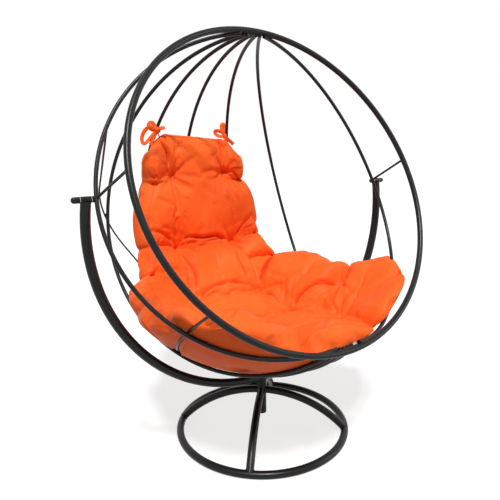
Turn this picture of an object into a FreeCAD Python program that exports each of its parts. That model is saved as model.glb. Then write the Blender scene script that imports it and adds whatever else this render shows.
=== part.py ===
import FreeCAD, Part
import math
import os
import Sketcher
from FreeCAD import Placement, Rotation, Vector

# Round bowl armchair on a swivel stand, in millimetres. +Z is up and the seat opens towards -Y, so +X is on
# the sitter's left. The origin lies on the floor, on the swivel axis.

doc = FreeCAD.newDocument("swivel_chair")
sheet = doc.addObject("Spreadsheet::Sheet", "sizes")

SIZES = (
    # foot: a ring of tube on the floor, four arched legs and an upright sleeve in the middle
    ("base_radius", 288.5), ("base_tube", 25), ("base_wall", 1.5), ("leg_tube", 25), ("leg_wall", 1.5),
    ("leg_rise", 129), ("leg_turn", 46.5), ("hub_outer", 32), ("hub_bore", 26), ("hub_length", 96.5),
    ("hub_lip", 1), ("cap_flange", 3), ("cap_plug", 8), ("cap_round", 2.5),
    # swivel bearing inside the sleeve
    ("spindle_size", 20), ("bush_depth", 22), ("bush_flange", 2.5), ("column_size", 32),
    ("column_round", 1.5),
    ("bush_seat_rise", 25.5), ("thrust_thickness", 2), ("clip_thickness", 1.6), ("clip_groove_depth", 0.9),
    ("clip_size", 24.6), ("clip_mouth", 9), ("spindle_tail", 8), ("running_fit", 0.05), ("seat_fit", 0.02),
    ("face_gap", 0.1), ("weld_gap", 0.2),
    # stand: one tube bent to a tall open arc, with a cross sleeve over each end
    ("column_rise", 19.7), ("arc_tube", 28), ("arc_wall", 2), ("arc_end_plug", 12),
    ("pivot_above", 62.5), ("sleeve_size", 18), ("sleeve_bore", 14), ("boss_reach", 11.9),
    ("sleeve_length", 28), ("bolt_size", 12), ("bolt_head_size", 17.4), ("bolt_head", 22.5),
    ("bolt_round", 7.5),
    ("washer_size", 17), ("washer_thickness", 1.2), ("boss_size", 17), ("boss_depth", 11.5), ("boss_wall", 6),
    # bowl: a front ring and seven ribs that lie on one sphere
    ("ring_radius", 500), ("ring_tube", 18), ("ring_wall", 1.5), ("ring_tilt", 26.12), ("rib_inset", 12.7),
    ("bowl_back", 213), ("bowl_gap", 46), ("bowl_shift", 1.6), ("rib_rod", 12), ("rib_pitch", 13),
    ("near_rib_turn", 16.06), ("far_rib_turn", 32.15), ("side_rib_turn", 69.8),
    ("strut_rod", 8), ("strut_rise", 55), ("hoop_rod", 8), ("hoop_ring_drop", 321), ("hoop_side_drop", 347),
    ("hoop_far_drop", 381),
    ("brace_rod", 6), ("brace_high", 250), ("brace_middle", 136), ("brace_low", 76), ("brace_bend", 300),
    # cushion: one tufted pad, narrow up the back and round on the seat
    ("soft_gap", 0.3), ("pad_gap", 0.8), ("seat_inset", 41), ("front_inset", 43), ("pad_thickness", 134),
    ("pad_edge", 100), ("pad_swell", 24), ("tuft_ball", 52), ("tuft_depth", 64),
    # ties: a strap round a rib with a bow
    ("tie_thickness", 2.2), ("tie_band", 15), ("tie_loop_length", 46), ("tie_loop_width", 17),
    ("tie_loop_thickness", 7), ("tie_knot_width", 8), ("tie_tail_length", 34), ("tie_tail_width", 11),
)
for row, (alias, value) in enumerate(SIZES, 1):
    sheet.set("A%d" % row, alias)
    sheet.set("B%d" % row, str(value))
    sheet.setAlias("B%d" % row, alias)
doc.recompute()


class Values:
    """The sheet's numbers, read by their aliases."""

    def __getattr__(self, alias):
        return float(sheet.get(alias))


v = Values()
half = 0.5
pieces = {}


def number(expression):
    """The present value of an expression."""
    if isinstance(expression, str):
        return float(sheet.evalExpression(expression))
    return float(expression)


# Places that several pieces share, from the floor up: hub, arc's underside, bowl and pivots

hub_top = "(sizes.base_tube / 2 + sizes.leg_rise + sizes.leg_tube / 2 + sizes.hub_lip)"
hub_bottom = "(%s - sizes.hub_length)" % hub_top
bush_seat = "(%s + sizes.bush_seat_rise)" % hub_bottom
arc_foot = "(%s + sizes.column_rise)" % hub_top
bowl_radius = "sqrt(sizes.bowl_back ^ 2 + (sizes.ring_radius - sizes.rib_inset) ^ 2)"
bowl_height = "(%s + sizes.arc_tube + sizes.bowl_gap + %s)" % (arc_foot, bowl_radius)
pivot_height = "(%s + sizes.pivot_above)" % bowl_height
rib_reach = "sqrt(%s ^ 2 - sizes.pivot_above ^ 2 - sizes.bowl_shift ^ 2)" % bowl_radius
sleeve_start = "(%s + sizes.boss_reach)" % rib_reach
arc_reach = "(%s + sizes.sleeve_length / 2)" % sleeve_start
arc_rise = "(%s - sizes.sleeve_size / 4 - %s - sizes.arc_tube / 2)" % (pivot_height, arc_foot)
arc_radius = "((%s ^ 2 + %s ^ 2) / (2 * %s))" % (arc_reach, arc_rise, arc_rise)

ring_up = Vector(0, math.sin(math.radians(v.ring_tilt)), math.cos(math.radians(v.ring_tilt)))
ring_back = Vector(0, math.cos(math.radians(v.ring_tilt)), -math.sin(math.radians(v.ring_tilt)))
across = Vector(1, 0, 0)
upright = Vector(0, 0, 1)
bowl_bend = number(bowl_radius)
bowl_centre = Vector(0, -v.bowl_shift, number(bowl_height))
ring_centre = bowl_centre - ring_back * v.bowl_back
arc_bend = number(arc_radius)
arc_centre = Vector(0, 0, number(arc_foot) + v.arc_tube * half + arc_bend)
pivot_centre = Vector(0, 0, number(pivot_height))


def placed(origin, local_x, local_z):
    """Placement whose local X and Z axes point along the given directions."""
    unit_z = Vector(local_z).normalize()
    unit_x = Vector(local_x)
    unit_x = (unit_x - unit_z * unit_x.dot(unit_z)).normalize()
    unit_y = unit_z.cross(unit_x)
    return Placement(origin, Rotation(unit_x, unit_y, unit_z, "ZXY"))


def bind(feature, prop, expression):
    """Tie a property to an expression over the sheet, or set a worked-out number."""
    if isinstance(expression, str):
        feature.setExpression(prop, expression)
    else:
        setattr(feature, prop, expression)


def sketch_on(body, name, role):
    sketch = body.newObject("Sketcher::SketchObject", name)
    plane = [item for item in body.Origin.OriginFeatures if item.Role == role][0]
    sketch.AttachmentSupport = [(plane, "")]
    sketch.MapMode = "FlatFace"
    return sketch


def dimension(sketch, kind, arguments, expression):
    index = sketch.addConstraint(Sketcher.Constraint(kind, *arguments, number(expression)))
    if isinstance(expression, str):
        sketch.setExpression("Constraints[%d]" % index, expression)


def round_section(sketch, distance, radius):
    """A circle centred on the sketch's horizontal axis at the given distance."""
    centre = Vector(number(distance), 0, 0)
    index = sketch.addGeometry(Part.Circle(centre, upright, number(radius)), False)
    sketch.addConstraint(Sketcher.Constraint("PointOnObject", index, 3, -1))
    dimension(sketch, "DistanceX", (-1, 1, index, 3), distance)
    dimension(sketch, "Radius", (index,), radius)


def bent_tube(name, bend, outer, inner, sweep, cavity=None):
    """A round section at local +X turned about local Z, half of the sweep to each side."""
    body = doc.addObject("PartDesign::Body", name)
    section = sketch_on(body, name + "_section", "XZ_Plane")
    round_section(section, bend, outer)
    if inner and not cavity:
        round_section(section, bend, inner)
    turn = body.newObject("PartDesign::Revolution", name + "_turn")
    turn.Profile = section
    turn.ReferenceAxis = (section, ["V_Axis"])
    turn.Midplane = True
    bind(turn, "Angle", sweep)
    body.Tip = turn
    if cavity:
        core = sketch_on(body, name + "_core", "XZ_Plane")
        round_section(core, bend, inner)
        doc.recompute()
        hollow = body.newObject("PartDesign::Groove", name + "_hollow")
        hollow.Profile = core
        hollow.ReferenceAxis = (core, ["V_Axis"])
        hollow.Midplane = True
        bind(hollow, "Angle", cavity)
        body.Tip = hollow
    return body


def turned(name, outline):
    """A solid of revolution about local Z, from the outline's (radius, height) corners."""
    body = doc.addObject("PartDesign::Body", name)
    sketch = sketch_on(body, name + "_outline", "XZ_Plane")
    corners = [Vector(number(r), number(z), 0) for r, z in outline]
    for index, corner in enumerate(corners):
        after = corners[(index + 1) % len(corners)]
        sketch.addGeometry(Part.LineSegment(corner, after), False)
    for index, (radius, height) in enumerate(outline):
        before = (index - 1) % len(outline)
        sketch.addConstraint(Sketcher.Constraint("Coincident", before, 2, index, 1))
        if radius == "0":
            sketch.addConstraint(Sketcher.Constraint("PointOnObject", index, 1, -2))
        else:
            dimension(sketch, "DistanceX", (-1, 1, index, 1), radius)
        if height == "0":
            sketch.addConstraint(Sketcher.Constraint("PointOnObject", index, 1, -1))
        else:
            dimension(sketch, "DistanceY", (-1, 1, index, 1), height)
    turn = body.newObject("PartDesign::Revolution", name + "_turn")
    turn.Profile = sketch
    turn.ReferenceAxis = (sketch, ["V_Axis"])
    turn.Angle = 360
    body.Tip = turn
    return body


def rounded(body, radius_expression, edge_radius, edge_height):
    """Round the circular edge of that radius and height."""
    doc.recompute()
    base = body.Tip
    names = []
    for index, edge in enumerate(base.Shape.Edges, 1):
        curve = edge.Curve
        if isinstance(curve, Part.Circle):
            near_size = abs(curve.Radius - edge_radius) < v.seat_fit
            near_height = abs(curve.Center.z - edge_height) < v.seat_fit
            if near_size and near_height:
                names.append("Edge%d" % index)
    fillet = body.newObject("PartDesign::Fillet", body.Name + "_round")
    fillet.Base = (base, names)
    bind(fillet, "Radius", radius_expression)
    body.Tip = fillet
    return body


def trimmed(name, base, tools):
    """The base less the tools, under the piece's own name."""
    if len(tools) > 1:
        tool = doc.addObject("Part::MultiFuse", name + "_tools")
        tool.Shapes = tools
    else:
        tool = tools[0]
    cut = doc.addObject("Part::Cut", name)
    cut.Base = base
    cut.Tool = tool
    return cut


def envelope(name, bend, radius, placement):
    """A torus that cuts the seat of a round tube out of what is welded to it."""
    torus = doc.addObject("Part::Torus", name)
    bind(torus, "Radius1", bend)
    bind(torus, "Radius2", radius)
    torus.Placement = placement
    return torus


def rod_envelope(name, radius, length, placement):
    cylinder = doc.addObject("Part::Cylinder", name)
    bind(cylinder, "Radius", radius)
    bind(cylinder, "Height", length)
    cylinder.Placement = placement
    return cylinder


def keep(label, item):
    item.Label = label
    pieces[label] = item


# Foot ring and its four arched legs, which meet on the swivel axis and land on the ring's centre line

ring_floor = placed(Vector(0, 0, v.base_tube * half), across, upright)
base_ring = bent_tube("base_ring_body", "sizes.base_radius", "sizes.base_tube / 2",
                      "sizes.base_tube / 2 - sizes.base_wall", 360)
base_ring.Placement = ring_floor
keep("base_ring", base_ring)
base_seat = envelope("base_seat", "sizes.base_radius", "sizes.base_tube / 2 + sizes.weld_gap", ring_floor)
hub_seat = rod_envelope("hub_seat", "sizes.hub_outer / 2 + sizes.weld_gap",
                        "sizes.leg_rise * 2", Placement(Vector(0, 0, 0), Rotation()))

leg_bend = "(sizes.base_radius ^ 2 + sizes.leg_rise ^ 2) / (2 * sizes.leg_rise)"
leg_bend_radius = number(leg_bend)
leg_sweep = math.degrees(math.asin(v.base_radius / leg_bend_radius))
leg_centre = Vector(0, 0, v.base_tube * half + v.leg_rise - leg_bend_radius)
LEGS = (("leg_rear_right", 0), ("leg_front_left", 180), ("leg_rear_left", 90), ("leg_front_right", 270))
leg_seats = [base_seat, hub_seat]
for label, quarter in LEGS:
    leg = bent_tube(label + "_body", leg_bend, "sizes.leg_tube / 2", "sizes.leg_tube / 2 - sizes.leg_wall",
                    "asin(sizes.base_radius / (%s))" % leg_bend)
    heading = math.radians(v.leg_turn + quarter)
    outward = Vector(math.cos(heading), math.sin(heading), 0)
    middle = math.radians(leg_sweep * half)
    leg.Placement = placed(leg_centre, outward * math.sin(middle) + upright * math.cos(middle),
                           outward.cross(upright))
    keep(label, trimmed(label + "_cut", leg, leg_seats))
    if quarter == 180:
        pair_seat = envelope("leg_pair_seat", leg_bend, "sizes.leg_tube / 2 + sizes.weld_gap",
                             placed(leg_centre, outward, outward.cross(upright)))
        leg_seats = [base_seat, hub_seat, pair_seat]

# Upright sleeve, its bottom plug, and the two bushes that carry the spindle

hub_sleeve = turned("hub_sleeve_body", (
    ("sizes.hub_bore / 2", hub_bottom), ("sizes.hub_outer / 2", hub_bottom),
    ("sizes.hub_outer / 2", hub_top), ("sizes.hub_bore / 2", hub_top)))
keep("hub_sleeve", hub_sleeve)

cap_base = "(%s - sizes.cap_flange)" % hub_bottom
plug_radius = "sizes.hub_bore / 2 - sizes.running_fit"
hub_cap = turned("hub_cap_body", (
    ("0", cap_base), ("sizes.hub_outer / 2", cap_base), ("sizes.hub_outer / 2", hub_bottom),
    (plug_radius, hub_bottom), (plug_radius, hub_bottom + " + sizes.cap_plug"),
    ("0", hub_bottom + " + sizes.cap_plug")))
rounded(hub_cap, "sizes.cap_round", v.hub_outer * half, number(cap_base))
keep("hub_cap", hub_cap)

bush_bore = "sizes.spindle_size / 2 + sizes.running_fit"
bush_outer = "sizes.hub_bore / 2 - sizes.seat_fit"
bush_upper = turned("bush_upper_body", (
    (bush_bore, hub_top + " - sizes.bush_depth"), (bush_outer, hub_top + " - sizes.bush_depth"),
    (bush_outer, hub_top), ("sizes.hub_outer / 2", hub_top),
    ("sizes.hub_outer / 2", hub_top + " + sizes.bush_flange"), (bush_bore, hub_top + " + sizes.bush_flange")))
keep("bush_upper", bush_upper)
bush_lower = turned("bush_lower_body", (
    (bush_bore, bush_seat), (bush_outer, bush_seat),
    (bush_outer, bush_seat + " + sizes.bush_depth"), (bush_bore, bush_seat + " + sizes.bush_depth")))
keep("bush_lower", bush_lower)

# Stand: the arc and the spindle with its short column, which turns on the upper bush's flange

arc_placement = placed(arc_centre, -upright, Vector(0, -1, 0))
arc_end = pivot_centre.z - v.sleeve_size / 4
arc_sweep = 360 - 2 * math.degrees(math.acos((arc_end - arc_centre.z) / arc_bend))
arc_cavity = arc_sweep - 2 * math.degrees(v.arc_end_plug / arc_bend)
stand_arc = bent_tube("stand_arc_body", arc_radius, "sizes.arc_tube / 2",
                      "sizes.arc_tube / 2 - sizes.arc_wall", arc_sweep, arc_cavity)
stand_arc.Placement = arc_placement
pivot_seats = []
for side in (-1, 1):
    start = pivot_centre + across * (side * (number(sleeve_start) - v.boss_depth))
    pivot_seats.append(rod_envelope("pivot_seat_%s" % ("left" if side < 0 else "right"),
                                    "sizes.sleeve_size / 2 + sizes.weld_gap",
                                    "sizes.sleeve_length + sizes.bolt_head + sizes.boss_depth",
                                    placed(start, upright, across * side)))
keep("stand_arc", trimmed("stand_arc_cut", stand_arc, pivot_seats))

column_base = "(%s + sizes.bush_flange + sizes.face_gap)" % hub_top
clip_top = "(%s - sizes.thrust_thickness - 2 * sizes.face_gap)" % bush_seat
clip_base = "(%s - sizes.clip_thickness)" % clip_top
shaft = "sizes.spindle_size / 2"
groove = "sizes.spindle_size / 2 - sizes.clip_groove_depth"
spindle = turned("spindle_body", (
    ("0", clip_base + " - sizes.spindle_tail"), (shaft, clip_base + " - sizes.spindle_tail"),
    (shaft, clip_base + " - sizes.face_gap"), (groove, clip_base + " - sizes.face_gap"),
    (groove, clip_top + " + sizes.face_gap"), (shaft, clip_top + " + sizes.face_gap"),
    (shaft, column_base), ("sizes.column_size / 2", column_base),
    ("sizes.column_size / 2", arc_foot + " + sizes.arc_tube / 2"), ("0", arc_foot + " + sizes.arc_tube / 2")))
rounded(spindle, "sizes.column_round", v.column_size * half, number(column_base))
arc_seat = envelope("arc_seat", arc_radius, "sizes.arc_tube / 2 + sizes.weld_gap", arc_placement)
keep("spindle", trimmed("spindle_cut", spindle, [arc_seat]))

thrust_radius = "sizes.hub_bore / 2 - sizes.running_fit * 4"
thrust_base = "(%s - sizes.thrust_thickness - sizes.face_gap)" % bush_seat
thrust_washer = turned("thrust_washer_body", (
    ("sizes.spindle_size / 2 + sizes.running_fit * 2", thrust_base), (thrust_radius, thrust_base),
    (thrust_radius, bush_seat + " - sizes.face_gap"),
    ("sizes.spindle_size / 2 + sizes.running_fit * 2", bush_seat + " - sizes.face_gap")))
keep("thrust_washer", thrust_washer)

clip_blank = turned("clip_blank", (
    (groove + " + sizes.seat_fit", clip_base), ("sizes.clip_size / 2", clip_base),
    ("sizes.clip_size / 2", clip_top), (groove + " + sizes.seat_fit", clip_top)))
clip_mouth = doc.addObject("Part::Box", "clip_mouth_tool")
bind(clip_mouth, "Length", "sizes.clip_size")
bind(clip_mouth, "Width", "sizes.clip_mouth")
bind(clip_mouth, "Height", "sizes.clip_thickness * 3")
clip_mouth.Placement = Placement(Vector(0, -v.clip_mouth * half, number(clip_base) - v.clip_thickness),
                                 Rotation())
keep("retaining_clip", trimmed("retaining_clip_cut", clip_blank, [clip_mouth]))

# Front ring of the bowl and its seven ribs: circles of one sphere that run from the ring's top to its foot

ring_placement = placed(ring_centre, across, ring_back)
front_ring = bent_tube("front_ring_body", "sizes.ring_radius", "sizes.ring_tube / 2",
                       "sizes.ring_tube / 2 - sizes.ring_wall", 360)
front_ring.Placement = ring_placement
keep("front_ring", front_ring)
ring_seat = envelope("ring_seat", "sizes.ring_radius", "sizes.ring_tube / 2 + sizes.weld_gap", ring_placement)

RIBS = (("rib_side_left", "sizes.side_rib_turn", -3), ("rib_far_left", "sizes.far_rib_turn", -2),
        ("rib_near_left", "sizes.near_rib_turn", -1), ("rib_middle", "0", 0),
        ("rib_near_right", "sizes.near_rib_turn", 1), ("rib_far_right", "sizes.far_rib_turn", 2),
        ("rib_side_right", "sizes.side_rib_turn", 3))
rib_frames = {}
for label, turn, step in RIBS:
    side = (step > 0) - (step < 0)
    offset = v.rib_pitch * step
    angle = math.radians(number(turn) * side)
    plane = "(sizes.bowl_back * sin(%s) + sizes.rib_pitch * %d * cos(%s))" % (turn, abs(step), turn)
    bend = "sqrt(%s ^ 2 - %s ^ 2)" % (bowl_radius, plane)
    ahead = "(sizes.bowl_back * cos(%s) - sizes.rib_pitch * %d * sin(%s))" % (turn, abs(step), turn)
    sweep = "2 * acos((sizes.rib_rod / 4 - %s) / (%s))" % (ahead, bend)
    rib = bent_tube(label + "_body", bend, "sizes.rib_rod / 2", None, sweep)
    outward = across * math.sin(angle) + ring_back * math.cos(angle)
    foot = ring_centre + across * offset
    normal = outward.cross(ring_up)
    centre = bowl_centre - normal * (bowl_centre - foot).dot(normal)
    rib.Placement = placed(centre, outward, normal)
    rib_frames[label] = (centre, outward, normal, number(bend))
    keep(label, trimmed(label + "_cut", rib, [ring_seat]))

# Side pivots: boss on the side rib, washers, bushed cross sleeve on the arc's end, and a domed bolt

bolt_groups = []
washer_groups = []
for side, word in ((-1, "left"), (1, "right")):
    axis = across * side
    on_axis = placed(pivot_centre, upright, axis)
    sleeve = turned("pivot_sleeve_%s_body" % word, (
        ("sizes.sleeve_bore / 2", sleeve_start), ("sizes.sleeve_size / 2", sleeve_start),
        ("sizes.sleeve_size / 2", sleeve_start + " + sizes.sleeve_length"),
        ("sizes.sleeve_bore / 2", sleeve_start + " + sizes.sleeve_length")))
    sleeve.Placement = on_axis
    keep("pivot_sleeve_%s" % word, sleeve)
    bush = turned("pivot_bush_%s_body" % word, (
        ("sizes.bolt_size / 2 + sizes.running_fit", sleeve_start),
        ("sizes.sleeve_bore / 2 - sizes.seat_fit", sleeve_start),
        ("sizes.sleeve_bore / 2 - sizes.seat_fit", sleeve_start + " + sizes.sleeve_length"),
        ("sizes.bolt_size / 2 + sizes.running_fit", sleeve_start + " + sizes.sleeve_length")))
    bush.Placement = on_axis
    keep("pivot_bush_%s" % word, bush)
    inner_base = "(%s - sizes.face_gap - sizes.washer_thickness)" % sleeve_start
    outer_base = "(%s + sizes.sleeve_length + sizes.face_gap)" % sleeve_start
    for place, base in (("inner", inner_base), ("outer", outer_base)):
        washer = turned("washer_%s_%s" % (place, word), (
            ("sizes.bolt_size / 2 + sizes.running_fit", base), ("sizes.washer_size / 2", base),
            ("sizes.washer_size / 2", base + " + sizes.washer_thickness"),
            ("sizes.bolt_size / 2 + sizes.running_fit", base + " + sizes.washer_thickness")))
        washer.Placement = on_axis
        washer_groups.append(washer)
    boss_face = "(%s - sizes.face_gap)" % inner_base
    boss = turned("rib_boss_%s_body" % word, (
        ("0", boss_face + " - sizes.boss_depth"), ("sizes.boss_size / 2", boss_face + " - sizes.boss_depth"),
        ("sizes.boss_size / 2", boss_face), ("sizes.bolt_size / 2 + sizes.seat_fit", boss_face),
        ("sizes.bolt_size / 2 + sizes.seat_fit", boss_face + " - sizes.boss_depth + sizes.boss_wall"),
        ("0", boss_face + " - sizes.boss_depth + sizes.boss_wall")))
    boss.Placement = on_axis
    centre, outward, normal, bend = rib_frames["rib_side_%s" % word]
    rib_seat = envelope("rib_seat_%s" % word, bend, "sizes.rib_rod / 2 + sizes.weld_gap",
                        placed(centre, outward, normal))
    keep("rib_boss_%s" % word, trimmed("rib_boss_%s_cut" % word, boss, [rib_seat]))
    tip = boss_face + " - sizes.boss_depth + sizes.boss_wall + sizes.face_gap"
    head = "(%s + sizes.washer_thickness + sizes.face_gap)" % outer_base
    bolt = turned("pivot_bolt_%s" % word, (
        ("0", tip), ("sizes.bolt_size / 2", tip), ("sizes.bolt_size / 2", head),
        ("sizes.bolt_head_size / 2", head), ("sizes.bolt_head_size / 2", head + " + sizes.bolt_head"),
        ("0", head + " + sizes.bolt_head")))
    rounded(bolt, "sizes.bolt_round", v.bolt_head_size * half, number(head) + v.bolt_head)
    bolt.Placement = on_axis
    bolt_groups.append(bolt)

    # strut from the ring to the boss
    reach = math.sqrt(v.ring_radius ** 2 - v.strut_rise ** 2)
    upper = ring_centre + ring_up * v.strut_rise + across * (side * reach)
    boss_middle = number(sleeve_start) - v.washer_thickness - v.boss_depth
    lower = pivot_centre + axis * boss_middle
    strut = rod_envelope("strut_%s_rod" % word, "sizes.strut_rod / 2", (lower - upper).Length,
                         placed(upper, across, lower - upper))
    boss_seat = rod_envelope("boss_seat_%s" % word, "sizes.boss_size / 2 + sizes.weld_gap",
                             "sizes.boss_depth * 3",
                             placed(pivot_centre + axis * (boss_middle - v.boss_depth), upright, axis))
    keep("strut_%s" % word, trimmed("strut_%s_cut" % word, strut, [ring_seat, rib_seat, boss_seat]))

pivot_bolts = doc.addObject("Part::Compound", "pivot_bolts_group")
pivot_bolts.Links = bolt_groups
keep("pivot_bolts", pivot_bolts)
pivot_washers = doc.addObject("Part::Compound", "pivot_washers_group")
pivot_washers.Links = washer_groups
keep("pivot_washers", pivot_washers)

# Rods beside the ribs on the left: the lower hoop lies inside them, the brace outside

def beside_rib(label, height, rod, way):
    """The point beside a rib, outside it or inside, at that height along the ring's upright."""
    centre, outward, normal, bend = rib_frames[label]
    rise = height - ring_up.dot(centre - ring_centre)
    point = centre + ring_up * rise + outward * math.sqrt(bend ** 2 - rise ** 2)
    away = (point - bowl_centre).normalize()
    return point + away * (way * (v.rib_rod * half + rod * half + v.weld_gap))


hoop_side = math.sqrt(v.ring_radius ** 2 - v.hoop_ring_drop ** 2)
hoop_start = ring_centre - ring_up * v.hoop_ring_drop - across * hoop_side
hoop_middle = beside_rib("rib_side_left", -v.hoop_side_drop, v.hoop_rod, -1)
hoop_end = beside_rib("rib_far_left", -v.hoop_far_drop, v.hoop_rod, -1)
hoop_circle = Part.Circle(hoop_start, hoop_middle, hoop_end)
hoop_bend = hoop_circle.Radius
hoop_first = (hoop_start - hoop_circle.Center).normalize()
hoop_last = (hoop_end - hoop_circle.Center).normalize()
hoop_placement = placed(hoop_circle.Center, hoop_first + hoop_last, hoop_first.cross(hoop_last))
hoop_sweep = math.degrees(hoop_first.getAngle(hoop_last) + v.hoop_rod * 2 / hoop_bend)
lower_hoop = bent_tube("lower_hoop_body", hoop_bend, "sizes.hoop_rod / 2", None, hoop_sweep)
lower_hoop.Placement = hoop_placement
keep("lower_hoop", trimmed("lower_hoop_cut", lower_hoop, [ring_seat]))

# Brace rod: straight from the side rib, bent round the far rib, straight to the near one

beside_middle = beside_rib("rib_far_left", v.brace_middle, v.brace_rod, 1)
brace_end = beside_rib("rib_near_left", -v.brace_low, v.brace_rod, 1)
centre, outward, normal, bend = rib_frames["rib_side_left"]
rise = v.brace_high - ring_up.dot(centre - ring_centre)
rib_point = centre + ring_up * rise + outward * math.sqrt(bend ** 2 - rise ** 2)
rib_way = (rib_point - centre).cross(normal).normalize()
onward = (beside_middle - rib_point).normalize()
beside = (onward - rib_way * onward.dot(rib_way)).normalize()
brace_start = rib_point + beside * (v.rib_rod * half + v.brace_rod * half + v.weld_gap)
brace_corner = Vector(beside_middle)
for _ in range(6):
    to_start = (brace_start - brace_corner).normalize()
    to_end = (brace_end - brace_corner).normalize()
    corner_half = to_start.getAngle(to_end) * half
    inward = (to_start + to_end).normalize()
    brace_corner = beside_middle - inward * (v.brace_bend / math.sin(corner_half) - v.brace_bend)
first_run = brace_corner - brace_start
second_run = brace_end - brace_corner
tangent = v.brace_bend / math.tan(corner_half)
turn_angle = math.pi - corner_half * 2
end_x = first_run.Length + second_run.Length * math.cos(turn_angle)
end_y = second_run.Length * math.sin(turn_angle)

back_brace = doc.addObject("PartDesign::Body", "back_brace_body")
route = sketch_on(back_brace, "back_brace_route", "XY_Plane")
bend_start = Vector(first_run.Length - tangent, 0, 0)
bend_end = Vector(first_run.Length + tangent * math.cos(turn_angle), tangent * math.sin(turn_angle), 0)
route.addGeometry(Part.LineSegment(Vector(0, 0, 0), bend_start), False)
arc_circle = Part.Circle(Vector(bend_start.x, v.brace_bend, 0), upright, v.brace_bend)
route.addGeometry(Part.ArcOfCircle(arc_circle, -math.pi * half, turn_angle - math.pi * half), False)
route.addGeometry(Part.LineSegment(bend_end, Vector(end_x, end_y, 0)), False)
route.addConstraint(Sketcher.Constraint("Coincident", 0, 1, -1, 1))
route.addConstraint(Sketcher.Constraint("PointOnObject", 0, 2, -1))
route.addConstraint(Sketcher.Constraint("Tangent", 0, 2, 1, 1))
route.addConstraint(Sketcher.Constraint("Tangent", 1, 2, 2, 1))
dimension(route, "Radius", (1,), "sizes.brace_bend")
dimension(route, "DistanceX", (-1, 1, 2, 2), end_x)
dimension(route, "DistanceY", (-1, 1, 2, 2), end_y)
brace_section = sketch_on(back_brace, "back_brace_section", "YZ_Plane")
circle_index = brace_section.addGeometry(Part.Circle(Vector(0, 0, 0), upright, v.brace_rod * half), False)
brace_section.addConstraint(Sketcher.Constraint("Coincident", circle_index, 3, -1, 1))
dimension(brace_section, "Radius", (circle_index,), "sizes.brace_rod / 2")
route.addConstraint(Sketcher.Constraint("Angle", 0, 1, 2, 1, turn_angle))
brace_pipe = back_brace.newObject("PartDesign::AdditivePipe", "back_brace_pipe")
brace_pipe.Profile = brace_section
brace_pipe.Spine = route
back_brace.Tip = brace_pipe
back_brace.Placement = placed(brace_start, first_run, first_run.cross(second_run))
keep("back_brace", back_brace)

# Cushion: sections that fan out about the bowl's centre, each of four arcs. A sphere gives its back, a flat
# cut its front, and sewn tufts and the lower hoop are pressed in.

# angle from straight down towards the back, half width, thickness at the middle and at the edge
PAD_SHARES = (
    (118.4, 0.35, 0.12, 0.18), (116.5, 0.39, 0.36, 0.34), (113, 0.457, 0.60, 0.46), (108, 0.497, 0.73, 0.68),
    (103.5, 0.505, 0.79, 0.72), (99, 0.515, 0.88, 0.70), (94, 0.565, 0.98, 0.84), (88, 0.60, 1.03, 0.92),
    (82, 0.612, 1.03, 0.92), (74, 0.617, 0.98, 0.87), (66.5, 0.612, 0.84, 0.77), (61, 0.634, 0.90, 0.84),
    (55, 0.667, 0.98, 0.78), (50, 0.72, 1.0, 0.68), (45.5, 0.815, 0.95, 0.78), (40, 0.885, 0.90, 0.95),
    (32, 0.922, 0.93, 1.06), (24, 0.937, 0.99, 1.11), (14, 0.950, 1.0, 1.11), (5, 0.96, 0.97, 1.02),
    (-4, 0.955, 0.99, 0.80), (-13, 0.97, 0.98, 0.90), (-24, 0.968, 0.90, 0.98), (-34, 0.955, 0.75, 0.94),
    (-42, 0.938, 0.55, 0.80), (-48, 0.912, 0.33, 0.62), (-54, 0.876, 0.24, 0.47), (-60, 0.82, 0.20, 0.36))
pad_radius = bowl_bend - v.rib_rod * half - v.pad_gap


def pad_direction(angle):
    """Unit vector from the bowl's centre, turned from straight down towards the back."""
    return Vector(0, math.sin(math.radians(angle)), -math.cos(math.radians(angle)))


def pad_section(angle, width_share, middle_share, edge_share):
    outward = pad_direction(angle)
    reach = (v.ring_radius - v.seat_inset) * width_share - v.pad_swell * edge_share
    spread = math.asin(reach / pad_radius)
    rear = pad_radius + v.rib_rod * half
    edge = pad_radius - v.pad_edge * edge_share
    crown = pad_radius - v.pad_thickness * middle_share

    def point(radius, turn, out=0):
        sideways = radius * math.sin(turn) + out * math.cos(turn)
        depth = radius * math.cos(turn) - out * math.sin(turn)
        return bowl_centre + across * sideways + outward * depth

    middle = (pad_radius + edge) * half
    bulge = v.pad_swell * edge_share
    back = Part.Arc(point(rear, -spread), point(rear, 0), point(rear, spread))
    right = Part.Arc(point(rear, spread), point(middle, spread, bulge), point(edge, spread))
    front = Part.Arc(point(edge, spread), point(crown, 0), point(edge, -spread))
    left = Part.Arc(point(edge, -spread), point(middle, -spread, -bulge), point(rear, -spread))
    return Part.Wire([item.toShape() for item in (back, right, front, left)])


sections = []
for index, share in enumerate(PAD_SHARES):
    section = doc.addObject("Part::Feature", "pad_section_%d" % index)
    section.Shape = pad_section(*share)
    sections.append(section)
pad_form = doc.addObject("Part::Loft", "pad_form")
pad_form.Sections = sections
pad_form.Solid = True
pad_form.Ruled = False
bowl_ball = doc.addObject("Part::Sphere", "bowl_ball")
bind(bowl_ball, "Radius", bowl_radius + " - sizes.rib_rod / 2 - sizes.pad_gap")
bowl_ball.Placement = Placement(bowl_centre, Rotation())
pad = doc.addObject("Part::Common", "pad")
pad.Base = pad_form
pad.Tool = bowl_ball

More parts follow.
